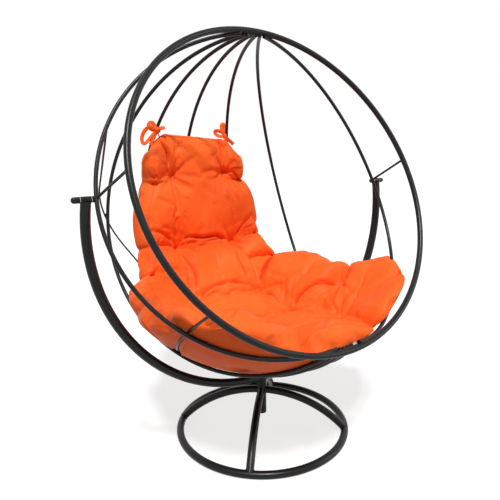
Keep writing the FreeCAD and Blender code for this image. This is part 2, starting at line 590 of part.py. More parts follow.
front_cut = doc.addObject("Part::Box", "front_cut")
bind(front_cut, "Length", bowl_radius + " * 2")
bind(front_cut, "Width", bowl_radius + " * 2")
bind(front_cut, "Height", bowl_radius)
front_corner = bowl_centre - ring_back * (v.bowl_back - v.front_inset) - across * bowl_bend
front_cut.Placement = placed(front_corner - ring_up * bowl_bend, across, -ring_back)
hoop_seat = envelope("hoop_seat", hoop_bend, "sizes.hoop_rod / 2 + sizes.pad_gap", hoop_placement)
pad_tools = [front_cut, hoop_seat]
# angle of a row of tufts, and its place as a share of the seat's half width
TUFT_SHARES = ((103, 0.288), (65.5, 0.307), (33.5, 0.357), (8, 0.414), (-24, 0.475))
for angle, share in TUFT_SHARES:
    sideways = (v.ring_radius - v.seat_inset) * share
    for side in (-1, 1):
        ball = doc.addObject("Part::Sphere", "tuft_tool")
        bind(ball, "Radius", "sizes.tuft_ball")
        radius = pad_radius - v.tuft_depth - v.tuft_ball
        spread = math.asin(sideways / pad_radius)
        away = across * (side * math.sin(spread)) + pad_direction(angle) * math.cos(spread)
        ball.Placement = Placement(bowl_centre + away * radius, Rotation())
        pad_tools.append(ball)
keep("cushion", trimmed("cushion_cut", pad, pad_tools))

# Ties at the cushion's top corners: a strap round the rib, two bow loops and a tail down to the corner

TIES = (("tie_left", "rib_near_left", 56.9), ("tie_right", "rib_near_right", 56.9))
for label, rib_label, angle in TIES:
    centre, outward, normal, bend = rib_frames[rib_label]
    turn = math.radians(angle)
    away = (outward * math.cos(turn) + ring_up * math.sin(turn)).normalize()
    along = (outward * -math.sin(turn) + ring_up * math.cos(turn)).normalize()
    spot = centre + away * bend
    beside = along.cross(away)
    band = doc.addObject("Part::Cylinder", label + "_band")
    bind(band, "Radius", "sizes.rib_rod / 2 + sizes.soft_gap + sizes.tie_thickness")
    bind(band, "Height", "sizes.tie_band")
    band.Placement = placed(spot - along * (v.tie_band * half), away, along)
    parts = [band]
    front = spot - away * (v.rib_rod * half + v.soft_gap + v.tie_thickness)
    for side in (-1, 1):
        loop = doc.addObject("Part::Wedge", label + "_loop")
        bind(loop, "Xmin", "sizes.tie_knot_width / -2")
        bind(loop, "Xmax", "sizes.tie_knot_width / 2")
        bind(loop, "Zmin", "sizes.tie_thickness / -2")
        bind(loop, "Zmax", "sizes.tie_thickness / 2")
        loop.Ymin = 0
        bind(loop, "Ymax", "sizes.tie_loop_length")
        bind(loop, "X2min", "sizes.tie_loop_width / -2")
        bind(loop, "X2max", "sizes.tie_loop_width / 2")
        bind(loop, "Z2min", "sizes.tie_loop_thickness / -2")
        bind(loop, "Z2max", "sizes.tie_loop_thickness / 2")
        heading = (beside * side + along * half).normalize()
        loop.Placement = placed(front, heading.cross(away), away)
        parts.append(loop)
    tail = doc.addObject("Part::Box", label + "_tail")
    bind(tail, "Length", "sizes.tie_tail_width")
    bind(tail, "Width", "sizes.tie_thickness")
    bind(tail, "Height", "sizes.tie_tail_length")
    tail_corner = front - beside * (v.tie_tail_width * half) - along * v.tie_tail_length
    tail.Placement = placed(tail_corner, beside, along)
    parts.append(tail)
    bow = doc.addObject("Part::MultiFuse", label + "_bow")
    bow.Shapes = parts
    rod_seat = rod_envelope(label + "_seat", "sizes.rib_rod / 2 + sizes.soft_gap", "sizes.tie_band * 2",
                            placed(spot - along * v.tie_band, away, along))
    keep(label, trimmed(label + "_cut", bow, [rod_seat]))

# Work out the model, look for failed objects and write each piece

doc.recompute()
for item in doc.Objects:
    if "Invalid" in item.State or "Error" in item.State:
        raise RuntimeError("%s failed: %s" % (item.Label, item.State))
os.makedirs("parts", exist_ok=True)
for label, item in pieces.items():
    shape = item.Shape
    if shape.isNull() or not shape.isValid():
        raise RuntimeError("%s has no valid shape" % label)
    shape.exportStep("parts/%s.step" % label)
    print("%-20s solids %d volume %.0f" % (label, len(shape.Solids), shape.Volume))
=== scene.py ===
import bmesh
import bpy
import math
import numpy as np
from mathutils import Matrix, Quaternion, Vector
from mathutils.bvhtree import BVHTree


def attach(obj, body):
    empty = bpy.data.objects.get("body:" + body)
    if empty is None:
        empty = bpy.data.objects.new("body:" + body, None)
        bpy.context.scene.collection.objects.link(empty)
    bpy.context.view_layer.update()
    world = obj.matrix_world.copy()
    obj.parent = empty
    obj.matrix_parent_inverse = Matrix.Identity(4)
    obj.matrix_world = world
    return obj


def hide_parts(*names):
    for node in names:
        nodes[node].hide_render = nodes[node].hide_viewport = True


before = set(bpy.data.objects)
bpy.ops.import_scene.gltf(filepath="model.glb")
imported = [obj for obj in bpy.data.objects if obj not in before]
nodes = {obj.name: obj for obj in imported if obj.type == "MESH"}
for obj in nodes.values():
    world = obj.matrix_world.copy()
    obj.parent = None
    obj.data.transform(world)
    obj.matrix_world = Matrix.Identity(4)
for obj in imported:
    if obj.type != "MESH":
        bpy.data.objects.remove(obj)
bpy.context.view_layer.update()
scene = bpy.context.scene


# ---- Camera
# Standing in front of the sitter's right hand, a little above seat height and looking slightly down.

EYE = Vector((-0.916, -1.278, 0.956))
YAW, PITCH, ROLL = math.radians(-34.44), math.radians(11.37), math.radians(-0.97)
FOCAL_SHARE = 484.3 / 500

ahead = Vector((-math.sin(YAW) * math.cos(PITCH), math.cos(YAW) * math.cos(PITCH), -math.sin(PITCH)))
level = ahead.cross(Vector((0, 0, 1))).normalized()
above = level.cross(ahead)
picture_right = level * math.cos(ROLL) + above * math.sin(ROLL)
picture_up = above * math.cos(ROLL) - level * math.sin(ROLL)
camera_data = bpy.data.cameras.new("camera")
camera_data.sensor_width = 36
camera_data.lens = 36 * FOCAL_SHARE
camera = bpy.data.objects.new("camera", camera_data)
camera.matrix_world = Matrix.Translation(EYE) @ Matrix((picture_right, picture_up, -ahead)).transposed().to_4x4()
scene.collection.objects.link(camera)
scene.camera = camera


# ---- White studio
# A white floor that keeps a soft shadow under the foot ring, and a white surround. The lamps are broad,
# so the tubes get long grey highlights and the cloth keeps its folds.

def clear_rays(tree):
    """One for what the eye sees straight, mirrored or through glass, and zero for other light."""
    path = tree.nodes.new("ShaderNodeLightPath")
    total = path.outputs["Is Camera Ray"]
    for label in ("Is Glossy Ray", "Is Transmission Ray"):
        either = tree.nodes.new("ShaderNodeMath")
        either.operation = "MAXIMUM"
        tree.links.new(total, either.inputs[0])
        tree.links.new(path.outputs[label], either.inputs[1])
        total = either.outputs[0]
    return total


world = bpy.data.worlds.new("surround")
world.use_nodes = True
scene.world = world
tree = world.node_tree
tree.nodes.clear()
blend = tree.nodes.new("ShaderNodeMixShader")
out = tree.nodes.new("ShaderNodeOutputWorld")
tree.links.new(clear_rays(tree), blend.inputs[0])
for place, strength in ((1, 0.22), (2, 1.0)):
    room = tree.nodes.new("ShaderNodeBackground")
    room.inputs["Color"].default_value = (1, 1, 1, 1)
    room.inputs["Strength"].default_value = strength
    tree.links.new(room.outputs[0], blend.inputs[place])
tree.links.new(blend.outputs[0], out.inputs["Surface"])

bm = bmesh.new()
bmesh.ops.create_grid(bm, x_segments=1, y_segments=1, size=30)
floor_mesh = bpy.data.meshes.new("studio_floor")
bm.to_mesh(floor_mesh)
bm.free()
floor = bpy.data.objects.new("studio_floor", floor_mesh)
scene.collection.objects.link(floor)
paper = bpy.data.materials.new("white_paper")
paper.use_nodes = True
tree = paper.node_tree
tree.nodes.clear()
matt = tree.nodes.new("ShaderNodeBsdfDiffuse")
matt.inputs["Color"].default_value = (0.34, 0.34, 0.34, 1)
lift = tree.nodes.new("ShaderNodeEmission")
lift.inputs["Strength"].default_value = 0.74
both = tree.nodes.new("ShaderNodeAddShader")
plain = tree.nodes.new("ShaderNodeBsdfDiffuse")
plain.inputs["Color"].default_value = (0.34, 0.34, 0.34, 1)
blend = tree.nodes.new("ShaderNodeMixShader")
out = tree.nodes.new("ShaderNodeOutputMaterial")
tree.links.new(matt.outputs[0], both.inputs[0])
tree.links.new(lift.outputs[0], both.inputs[1])
tree.links.new(clear_rays(tree), blend.inputs[0])
tree.links.new(plain.outputs[0], blend.inputs[1])
tree.links.new(both.outputs[0], blend.inputs[2])
tree.links.new(blend.outputs[0], out.inputs["Surface"])
floor_mesh.materials.append(paper)


def lamp(name, strength, towards, spread):
    """A broad far lamp that shines along the given direction."""
    data = bpy.data.lights.new(name, "SUN")
    data.energy = strength
    data.angle = math.radians(spread)
    item = bpy.data.objects.new(name, data)
    item.rotation_euler = Vector(towards).to_track_quat("-Z", "Y").to_euler()
    scene.collection.objects.link(item)


lamp("key_lamp", 3.6, (0.30, 0.50, -1.0), 8)
lamp("front_lamp", 0.6, (-0.75, 0.60, -0.35), 28)
scene.view_settings.view_transform = "Standard"


# ---- Black frame
# Steel tube and rod, powder coated satin black: ring, ribs, arc, legs, foot ring and all that is welded on.
# The coat has a faint orange peel, and is a touch greyer and duller where dust lies on it.

def new_group(name, inputs, outputs):
    """An empty shader group with named number or colour sockets."""
    group = bpy.data.node_groups.new(name, "ShaderNodeTree")
    for label, kind, value in inputs:
        socket = group.interface.new_socket(label, in_out="INPUT", socket_type=kind)
        if value is not None:
            socket.default_value = value
    for label, kind in outputs:
        group.interface.new_socket(label, in_out="OUTPUT", socket_type=kind)
    return group, group.nodes.new("NodeGroupInput"), group.nodes.new("NodeGroupOutput")


speckle, given, made = new_group(
    "mottle", [("Size", "NodeSocketFloat", 40.0), ("Twist", "NodeSocketFloat", 0.0),
               ("Low", "NodeSocketFloat", 0.0), ("High", "NodeSocketFloat", 1.0)],
    [("Value", "NodeSocketFloat")])
place = speckle.nodes.new("ShaderNodeTexCoord")
cloud = speckle.nodes.new("ShaderNodeTexNoise")
cloud.inputs["Detail"].default_value = 4
cloud.inputs["Roughness"].default_value = 0.6
spread = speckle.nodes.new("ShaderNodeMapRange")
spread.inputs["From Min"].default_value = 0.3
spread.inputs["From Max"].default_value = 0.7
speckle.links.new(place.outputs["Object"], cloud.inputs["Vector"])
speckle.links.new(given.outputs["Size"], cloud.inputs["Scale"])
speckle.links.new(given.outputs["Twist"], cloud.inputs["Distortion"])
speckle.links.new(cloud.outputs["Fac"], spread.inputs["Value"])
speckle.links.new(given.outputs["Low"], spread.inputs["To Min"])
speckle.links.new(given.outputs["High"], spread.inputs["To Max"])
speckle.links.new(spread.outputs["Result"], made.inputs["Value"])


def mottle(tree, size, low=0.0, high=1.0, twist=0.0):
    """The mottle's value at one size, between two limits."""
    node = tree.nodes.new("ShaderNodeGroup")
    node.node_tree = speckle
    node.inputs["Size"].default_value = size
    node.inputs["Twist"].default_value = twist
    node.inputs["Low"].default_value = low
    node.inputs["High"].default_value = high
    return node.outputs["Value"]


def finish(name, dark, light, gloss, grain, specular=0.5, metal=0.0, patch_size=9.0):
    """A coat or metal whose colour and gloss drift in soft patches, with a fine bumpy grain."""
    material = bpy.data.materials.new(name)
    material.use_nodes = True
    tree = material.node_tree
    shader = tree.nodes["Principled BSDF"]
    shader.inputs["Metallic"].default_value = metal
    shader.inputs["Specular IOR Level"].default_value = specular
    colour = tree.nodes.new("ShaderNodeMix")
    colour.data_type = "RGBA"
    colour.inputs["A"].default_value = (*dark, 1)
    colour.inputs["B"].default_value = (*light, 1)
    tree.links.new(mottle(tree, patch_size), colour.inputs["Factor"])
    tree.links.new(colour.outputs["Result"], shader.inputs["Base Color"])
    tree.links.new(mottle(tree, patch_size * 4, *gloss), shader.inputs["Roughness"])
    bump = tree.nodes.new("ShaderNodeBump")
    bump.inputs["Strength"].default_value = 0.3
    bump.inputs["Distance"].default_value = grain[1]
    tree.links.new(mottle(tree, grain[0]), bump.inputs["Height"])
    tree.links.new(bump.outputs["Normal"], shader.inputs["Normal"])
    return material


evened = bpy.data.node_groups.new("even_shading", "GeometryNodeTree")
for way in ("INPUT", "OUTPUT"):
    evened.interface.new_socket("Geometry", in_out=way, socket_type="NodeSocketGeometry")
given = evened.nodes.new("NodeGroupInput")
made = evened.nodes.new("NodeGroupOutput")
joined = evened.nodes.new("GeometryNodeMergeByDistance")
joined.inputs["Distance"].default_value = 0.00001
round_faces = evened.nodes.new("GeometryNodeSetShadeSmooth")
sharp_edges = evened.nodes.new("GeometryNodeSetShadeSmooth")
sharp_edges.domain = "EDGE"
sharp_edges.inputs["Shade Smooth"].default_value = False
fold = evened.nodes.new("GeometryNodeInputMeshEdgeAngle")
steep = evened.nodes.new("FunctionNodeCompare")
steep.inputs["B"].default_value = math.radians(32)
evened.links.new(given.outputs[0], joined.inputs["Geometry"])
evened.links.new(joined.outputs[0], round_faces.inputs["Geometry"])
evened.links.new(round_faces.outputs[0], sharp_edges.inputs["Geometry"])
evened.links.new(fold.outputs["Unsigned Angle"], steep.inputs["A"])
evened.links.new(steep.outputs[0], sharp_edges.inputs["Selection"])
evened.links.new(sharp_edges.outputs[0], made.inputs[0])

powder_coat = finish("black_powder_coat", (0.0045, 0.0042, 0.0042), (0.009, 0.0085, 0.0085), (0.27, 0.38),
                     (700, 0.00012), 0.22)
for label, item in nodes.items():
    item.data.materials.clear()
    item.data.materials.append(powder_coat)
    item.modifiers.new("even_shading", "NODES").node_group = evened


# ---- Weld beads
# Every tube and rod end is welded all round where it lands on another tube: a thin rippled roll along the
# meeting line. Rods that only pass each other have a short tack. All of it is coated with the frame.

WELDED = {
    "base": ("leg_rear_right", "leg_rear_left", "leg_front_left", "leg_front_right", "base_ring", "hub_sleeve"),
    "stand": ("stand_arc", "spindle", "pivot_sleeve_left", "pivot_sleeve_right"),
    "bowl": ("rib_side_left", "rib_far_left", "rib_near_left", "rib_middle", "rib_near_right", "rib_far_right",
             "rib_side_right", "strut_left", "strut_right", "rib_boss_left", "rib_boss_right", "lower_hoop",
             "front_ring")}
TACKED = (("lower_hoop", "rib_side_left"), ("lower_hoop", "rib_far_left"), ("back_brace", "rib_side_left"),
          ("back_brace", "rib_far_left"), ("back_brace", "rib_near_left"))
WELD_REACH = 0.0006
WELD_ROLL = 0.0017
WELD_STEP = 0.0014


def whole(label):
    """A node's own shape with its triangles joined."""
    bm = bmesh.new()
    bm.from_mesh(nodes[label].data)
    bmesh.ops.remove_doubles(bm, verts=bm.verts, dist=0.00001)
    bm.edges.index_update()
    return bm


def meeting_loops(rod, tube):
    """Closed loops of sharp edges on one shape where it lands on the other."""
    near = {}
    for edge in rod.edges:
        if len(edge.link_faces) == 2 and edge.calc_face_angle() > 0.5:
            if all(tube.find_nearest(vert.co)[3] < WELD_REACH for vert in edge.verts):
                near[edge.index] = edge
    while near:
        edge = near.pop(min(near))
        tip = edge.verts[1]
        chain = [edge.verts[0].co.copy(), tip.co.copy()]
        step = edge
        while step:
            ahead_edges = sorted(other.index for other in tip.link_edges if other.index in near)
            step = near.pop(ahead_edges[0]) if ahead_edges else None
            if step:
                tip = step.other_vert(tip)
                chain.append(tip.co.copy())
        if len(chain) > 8 and (chain[0] - chain[-1]).length < 0.004:
            yield chain[:-1] if (chain[0] - chain[-1]).length < 0.00005 else chain


def even_steps(chain, step):
    """Places at equal steps round a closed loop."""
    points = np.array([tuple(point) for point in chain] + [tuple(chain[0])])
    reach = np.concatenate([[0], np.cumsum(np.linalg.norm(np.diff(points, axis=0), axis=1))])
    count = max(12, int(reach[-1] / step))
    at = np.linspace(0, reach[-1], count, endpoint=False)
    return np.stack([np.interp(at, reach, points[:, axis]) for axis in range(3)], -1)


def solid_lines(name, curve):
    """A curve turned into a plain mesh object at the origin."""
    item = bpy.data.objects.new(name, curve)
    scene.collection.objects.link(item)
    mesh = bpy.data.meshes.new_from_object(item.evaluated_get(bpy.context.evaluated_depsgraph_get()))
    bpy.data.objects.remove(item)
    bm = bmesh.new()
    bm.from_mesh(mesh)
    bmesh.ops.remove_doubles(bm, verts=bm.verts, dist=0.00002)
    return bm


def new_piece(name, bm, material, body):
    """Close a mesh into a finished object that rides on a body."""
    bmesh.ops.recalc_face_normals(bm, faces=bm.faces)
    for face in bm.faces:
        face.smooth = True
    mesh = bpy.data.meshes.new(name)
    bm.to_mesh(mesh)
    bm.free()
    mesh.materials.clear()
    mesh.materials.append(material)
    item = bpy.data.objects.new(name, mesh)
    scene.collection.objects.link(item)
    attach(item, body)
    return item


shapes = {label: whole(label) for labels in WELDED.values() for label in labels}
shapes["back_brace"] = whole("back_brace")
surfaces = {label: BVHTree.FromBMesh(shape) for label, shape in shapes.items()}
for body, labels in WELDED.items():
    beads = bpy.data.curves.new("beads_" + body, "CURVE")
    beads.dimensions = "3D"
    beads.bevel_depth = WELD_ROLL
    beads.bevel_resolution = 1
    for rod in labels:
        for tube in labels:
            if rod == tube:
                continue
            for chain in meeting_loops(shapes[rod], surfaces[tube]):
                points = even_steps(chain, WELD_STEP)
                line = beads.splines.new("POLY")
                line.points.add(len(points) - 1)
                for index, point in enumerate(points):
                    line.points[index].co = (*point, 1)
                    line.points[index].radius = 1 + 0.22 * math.sin(index * math.tau / 4.3)
                line.use_cyclic_u = True
    print("beads", body, len(beads.splines))
    bm = solid_lines("beads_" + body, beads)
    if body == "bowl":
        for rod, tube in TACKED:
            gaps = [(surfaces[tube].find_nearest(vert.co), vert.co) for vert in shapes[rod].verts]
            (spot, facing, index, gap), start = min(gaps, key=lambda item: item[0][3])
            turn = facing.to_track_quat("Z", "Y").to_matrix().to_4x4()
            size = Matrix.Diagonal((1.2, 1.2, 0.75, 1))
            bmesh.ops.create_icosphere(bm, subdivisions=3, radius=0.0036,
                                       matrix=Matrix.Translation((spot + start) / 2) @ turn @ size)
    welds = new_piece("welds_" + body, bm, powder_coat, body)
for shape in shapes.values():
    shape.free()


# ---- Bushes, cap, washers and clip
# The swivel and the two side pivots run in moulded black plastic. Washers and the clip are bare steel, and mostly
# hidden.

moulded = finish("black_plastic", (0.010, 0.010, 0.010), (0.016, 0.016, 0.016), (0.42, 0.55), (420, 0.0002), 0.4)
for label in ("hub_cap", "bush_upper", "bush_lower", "pivot_bush_left", "pivot_bush_right"):
    nodes[label].data.materials[0] = moulded
bare_steel = finish("bright_steel", (0.50, 0.50, 0.51), (0.62, 0.62, 0.62), (0.24, 0.40), (1400, 0.0001), 0.5, 1.0)
for label in ("thrust_washer", "retaining_clip", "pivot_washers"):
    nodes[label].data.materials[0] = bare_steel


# ---- Cushion
# One long pad of slippery orange nylon over a loose filling, sewn through in pairs of tufts. It is narrow up
# the back, wide and round on the seat, and each row of tufts draws the edges in to a gathered notch.

BOWL = np.array((0.0, -0.0016, 0.7805))
BACKING = 0.5252
PAD_SHIFT = 0.008
PAD_BULGE = 0.012
# degrees from straight down at the middle of a row, half width, how far the row bows back at its ends,
# thickness at the middle and at the edge
PAD_ROWS = np.array((
    (118.6, 0.128, 0.0, 0.012, 0.014), (116.5, 0.152, 0.0, 0.024, 0.032), (114.0, 0.176, 0.0, 0.040, 0.048),
    (111.4, 0.198, 0.0, 0.056, 0.062), (107.0, 0.212, 0.0, 0.074, 0.072), (102.0, 0.218, 0.0, 0.084, 0.076),
    (98.0, 0.228, 0.0, 0.090, 0.078), (92.0, 0.246, 0.0, 0.094, 0.080), (87.5, 0.258, 0.0, 0.094, 0.080),
    (78.0, 0.266, 0.0, 0.094, 0.078), (69.0, 0.268, 0.0, 0.090, 0.076), (64.0, 0.272, 0.0, 0.090, 0.076),
    (57.0, 0.284, 0.0, 0.092, 0.078), (50.0, 0.318, 0.0, 0.092, 0.078), (46.0, 0.352, 0.0, 0.092, 0.078),
    (41.0, 0.392, 0.0, 0.092, 0.078), (33.0, 0.416, 0.0, 0.092, 0.078), (24.0, 0.426, 0.0, 0.092, 0.078),
    (8.0, 0.434, 0.0, 0.092, 0.078), (-6.0, 0.436, 0.0, 0.090, 0.076), (-16.0, 0.438, 0.0, 0.084, 0.072),
    (-26.0, 0.436, -1.2, 0.072, 0.064), (-34.0, 0.430, -4.0, 0.058, 0.054), (-40.0, 0.418, -7.0, 0.046, 0.046),
    (-44.0, 0.400, -9.5, 0.036, 0.040), (-46.5, 0.376, -10.5, 0.028, 0.036)))
# where the edge is drawn in: angle, sideways place, pull towards the middle, pull towards the back, reach along
EDGE_NOTCHES = (
    (99.0, 0.232, 0.016, 0.0, 0.014), (99.0, -0.222, 0.010, 0.0, 0.014), (67.0, 0.276, 0.008, 0.0, 0.014),
    (67.0, -0.262, 0.010, 0.0, 0.014), (50.5, 0.324, 0.022, 0.0, 0.018), (50.5, -0.310, 0.022, 0.0, 0.018),
    (-5.0, 0.454, 0.074, 0.0, 0.016), (-5.0, -0.440, 0.052, 0.0, 0.016), (-49.0, 0.412, 0.018, 0.010, 0.014),
    (-52.0, -0.395, 0.034, 0.030, 0.018), (-47.0, 0.185, 0.0, 0.070, 0.018), (-47.0, -0.105, 0.0, 0.050, 0.016))
TUFT_RADIUS = 0.466
PAD_TUFTS = ((103.0, 0.145, -0.118), (65.5, 0.156, -0.126), (33.5, 0.178, -0.150), (8.0, 0.204, -0.176),
             (-24.0, 0.232, -0.204))


def on_bowl(angle, sideways, radius, out=0.0):
    """Places in the bowl: angle from straight down to the back, width at the ribs, distance from its centre."""
    turn = np.arcsin(np.clip(sideways / BACKING, -0.98, 0.98))
    angle = np.radians(angle)
    facing = np.stack([np.zeros_like(angle), np.sin(angle), -np.cos(angle)], -1)
    sweep = np.array((1.0, 0, 0))
    along = facing * np.cos(turn)[..., None] + sweep * np.sin(turn)[..., None]
    beside = sweep * np.cos(turn)[..., None] - facing * np.sin(turn)[..., None]
    return BOWL + along * radius[..., None] + beside * np.asarray(out)[..., None]


def tuft_gaps(angle, sideways):
    """Distance along the bowl to every tuft, and the turn about it."""
    for row, right, left in PAD_TUFTS:
        for place in (right, left):
            up = (angle - row) * math.pi / 180 * 0.47
            over = (sideways - place) * 0.94
            yield np.hypot(up, over), np.arctan2(up, over), row + place


def pad_places(flat, sewn):
    """Bowl coordinates of the pad's flat pattern: x across, y from top to front, z from back to face."""
    x, y, z = flat.T
    share = (1 - y) / 2
    arc = PAD_ROWS[0, 0] + (PAD_ROWS[-1, 0] - PAD_ROWS[0, 0]) * share
    width, bow, middle, edge = (np.interp(-arc, -PAD_ROWS[:, 0], PAD_ROWS[:, i]) for i in (1, 2, 3, 4))
    left = np.clip(-x, 0, 1)
    right = np.clip(x, 0, 1)
    width = width + left * 0.009 * np.interp(arc, (46, 56, 84, 92), (0, 1, 1, 0))
    width = width + left * 0.013 * np.interp(arc, (100, 108, 115, 118.6), (0, 1, 1, 0))
    width = width + right * 0.014 * np.interp(arc, (-47, -44, -36, -28, -18), (1.7, 1.7, 1.2, 1, 0))
    sideways = x * width + PAD_SHIFT
    angle = arc + bow * np.abs(x) ** 2.4
    angle = angle - np.clip((arc - 96) / 22, 0, 1) * (0.9 + 1.1 * x - 0.9 * np.abs(x) ** 3)
    angle = angle + 7.0 * np.clip((x - 0.84) / 0.16, 0, 1) ** 1.5 * np.clip((-34 - arc) / 12, 0, 1)
    to_edge = np.clip((np.abs(x) - 0.55) / 0.45, 0, 1)
    thick = middle + (edge - middle) * to_edge ** 2
    front = np.clip((-24 - arc) / 22, 0, 1)
    thick = thick + front * 0.042 * np.clip((0.15 - sideways) / 0.12, 0, 1) * np.clip((sideways + 0.42) / 0.10, 0, 1)
    thick = thick - front * 0.012 * np.clip((sideways - 0.08) / 0.10, 0, 1)
    thick = thick - np.clip((-12 - arc) / 14, 0, 1) * 0.034 * np.clip((sideways - 0.22) / 0.10, 0, 1)
    dip_face = np.zeros_like(x)
    dip_back = np.zeros_like(x)
    ripple = np.zeros_like(x)
    if sewn:
        pulled = np.zeros_like(x)
        for row, place, inward, back, spread in EDGE_NOTCHES:
            up = (angle - row) * math.pi / 180 * 0.47
            over = sideways - place
            along = up * abs(inward) / math.hypot(inward, back) + over * -np.sign(place) * back / math.hypot(inward, back)
            across = np.hypot(up, over)
            near = np.exp(-np.abs(along) / spread) * np.exp(-(across / 0.10) ** 2)
            sideways = sideways - np.sign(place) * inward * near
            angle = angle + np.degrees(back / 0.47) * near
            pulled = np.maximum(pulled, near * min(1.0, math.hypot(inward, back) / 0.030))
        thick = thick * (1 - 0.62 * pulled)
        for gap, turn, seed in tuft_gaps(angle, sideways):
            dip = np.exp(-gap / 0.034)
            dip_face = np.maximum(dip_face, dip)
            dip_back = np.maximum(dip_back, 0.016 * np.exp(-gap / 0.030))
            fade = np.clip(gap / 0.012, 0, 1) * np.exp(-(gap / 0.062) ** 2)
            ripple = ripple + 0.0050 * fade * np.sin(turn * 9 + seed * 7)
    face = BACKING - 0.004 - thick
    tuft_floor = np.maximum(TUFT_RADIUS, face + 0.012)
    face = face + (tuft_floor - face) * dip_face + ripple
    rear = BACKING - 0.004 - dip_back
    radius = rear + (face - rear) * z
    wall = (np.abs(x) > 0.9999).astype(float)
    out = np.sign(x) * wall * PAD_BULGE * 4 * z * (1 - z)
    return on_bowl(angle, sideways, radius, out), angle, sideways


bm = bmesh.new()
bmesh.ops.create_grid(bm, x_segments=74, y_segments=146, size=1)
pulled = bmesh.ops.extrude_face_region(bm, geom=bm.faces[:], use_keep_orig=True)
bmesh.ops.translate(bm, verts=[v for v in pulled["geom"] if isinstance(v, bmesh.types.BMVert)], vec=(0, 0, 1))
walls = [e for e in bm.edges if abs(e.verts[0].co.z - e.verts[1].co.z) > 0.5]
bmesh.ops.subdivide_edges(bm, edges=walls, cuts=6, use_grid_fill=True)
bmesh.ops.recalc_face_normals(bm, faces=bm.faces)
flat = np.array([v.co[:] for v in bm.verts])
pattern = bm.loops.layers.uv.new("pattern")
# The sewn edges, marked for a small groove pressed into the cover and for painted shade along that groove
sewn_edge = bm.verts.layers.float.new("seam")
for vert in bm.verts:
    outermost = max(abs(vert.co.x), abs(vert.co.y)) > 0.9999
    vert[sewn_edge] = float(outermost and (vert.co.z > 0.999 or vert.co.z < 0.001))
for face in bm.faces:
    heights = [vert.co.z for vert in face.verts]
    wall = max(heights) - min(heights) > 0.001
    for loop in face.loops:
        x, y, z = loop.vert.co
        drop = (1 - z) * 0.09 if wall else 0.0
        over = math.copysign(drop, x) if wall and abs(x) > 0.9999 else 0.0
        along = math.copysign(drop, y) if wall and abs(y) > 0.9999 else 0.0
        loop[pattern].uv = (x * 0.44 + over, y * 0.65 + along)
start, angle, sideways = pad_places(flat, True)
cut, _, _ = pad_places(flat, False)
for vert, place in zip(bm.verts, start):
    vert.co = place
if bm.calc_volume(signed=True) < 0:
    bmesh.ops.reverse_faces(bm, faces=bm.faces)
for face in bm.faces:
    face.smooth = True
pad_mesh = bpy.data.meshes.new("cushion_cover")
bm.to_mesh(pad_mesh)
bm.free()
cushion = bpy.data.objects.new("cushion_cover", pad_mesh)
scene.collection.objects.link(cushion)

held = np.zeros(len(flat), bool)
for gap, turn, seed in tuft_gaps(angle, sideways):
    held |= (gap < 0.008) & ((flat[:, 2] > 0.99) | (flat[:, 2] < 0.01))
rim = (np.abs(flat[:, 0]) > 0.985) | (flat[:, 1] < -0.985)
for row, place, inward, back, spread in EDGE_NOTCHES:
    spot_up = (angle - row) * math.pi / 180 * 0.47 - back
    spot_over = sideways - place + np.sign(place) * inward
    held |= (np.hypot(spot_up, spot_over) < 0.010) & rim
held |= flat[:, 1] > 0.999

pins = cushion.vertex_groups.new(name="sewn")
pins.add([int(i) for i in np.nonzero(held)[0]], 1.0, "REPLACE")
cushion.shape_key_add(name="Basis")
pattern = cushion.shape_key_add(name="pattern")
pattern.data.foreach_set("co", cut.astype(np.float32).ravel())
cloth = cushion.modifiers.new("filling", "CLOTH")
settings = cloth.settings
settings.quality = 6
settings.mass = 0.25
settings.tension_stiffness = 20
settings.compression_stiffness = 12
settings.shear_stiffness = 4
settings.bending_stiffness = 0.03
settings.air_damping = 2
settings.use_pressure = True
settings.uniform_pressure_force = 5.5
settings.shrink_min = -0.06
settings.rest_shape_key = pattern
settings.vertex_group_mass = "sewn"
settings.effector_weights.gravity = 0
cloth.collision_settings.use_collision = False
cloth.collision_settings.use_self_collision = False
cloth.point_cache.frame_start = 1
cloth.point_cache.frame_end = 26
scene.frame_start = 1
scene.frame_end = 26
for step in range(1, 27):
    scene.frame_set(step)
settled = cushion.evaluated_get(bpy.context.evaluated_depsgraph_get()).to_mesh()
co = np.empty(len(settled.vertices) * 3, np.float32)
settled.vertices.foreach_get("co", co)
co = co.reshape(-1, 3).astype(float)
cushion.modifiers.clear()
cushion.shape_key_clear()
scene.frame_set(1)

travel = co - start
length = np.linalg.norm(travel, axis=1, keepdims=True)
CAP = 0.045
co = start + travel * (CAP * np.tanh(length / CAP) / np.maximum(length, 1e-9))
from_bowl = co - BOWL
reach = np.linalg.norm(from_bowl, axis=1, keepdims=True)
co = BOWL + from_bowl * np.minimum(1, BACKING / reach)
cushion.data.vertices.foreach_set("co", co.astype(np.float32).ravel())
cushion.data.update()
print("cushion moved", float(length.mean()), float(length.max()))
smooth = cushion.modifiers.new("round_off", "SUBSURF")
smooth.levels = 1
smooth.render_levels = 1
rounded = bpy.data.meshes.new_from_object(cushion.evaluated_get(bpy.context.evaluated_depsgraph_get()))
cushion.modifiers.clear()
cushion.data = rounded

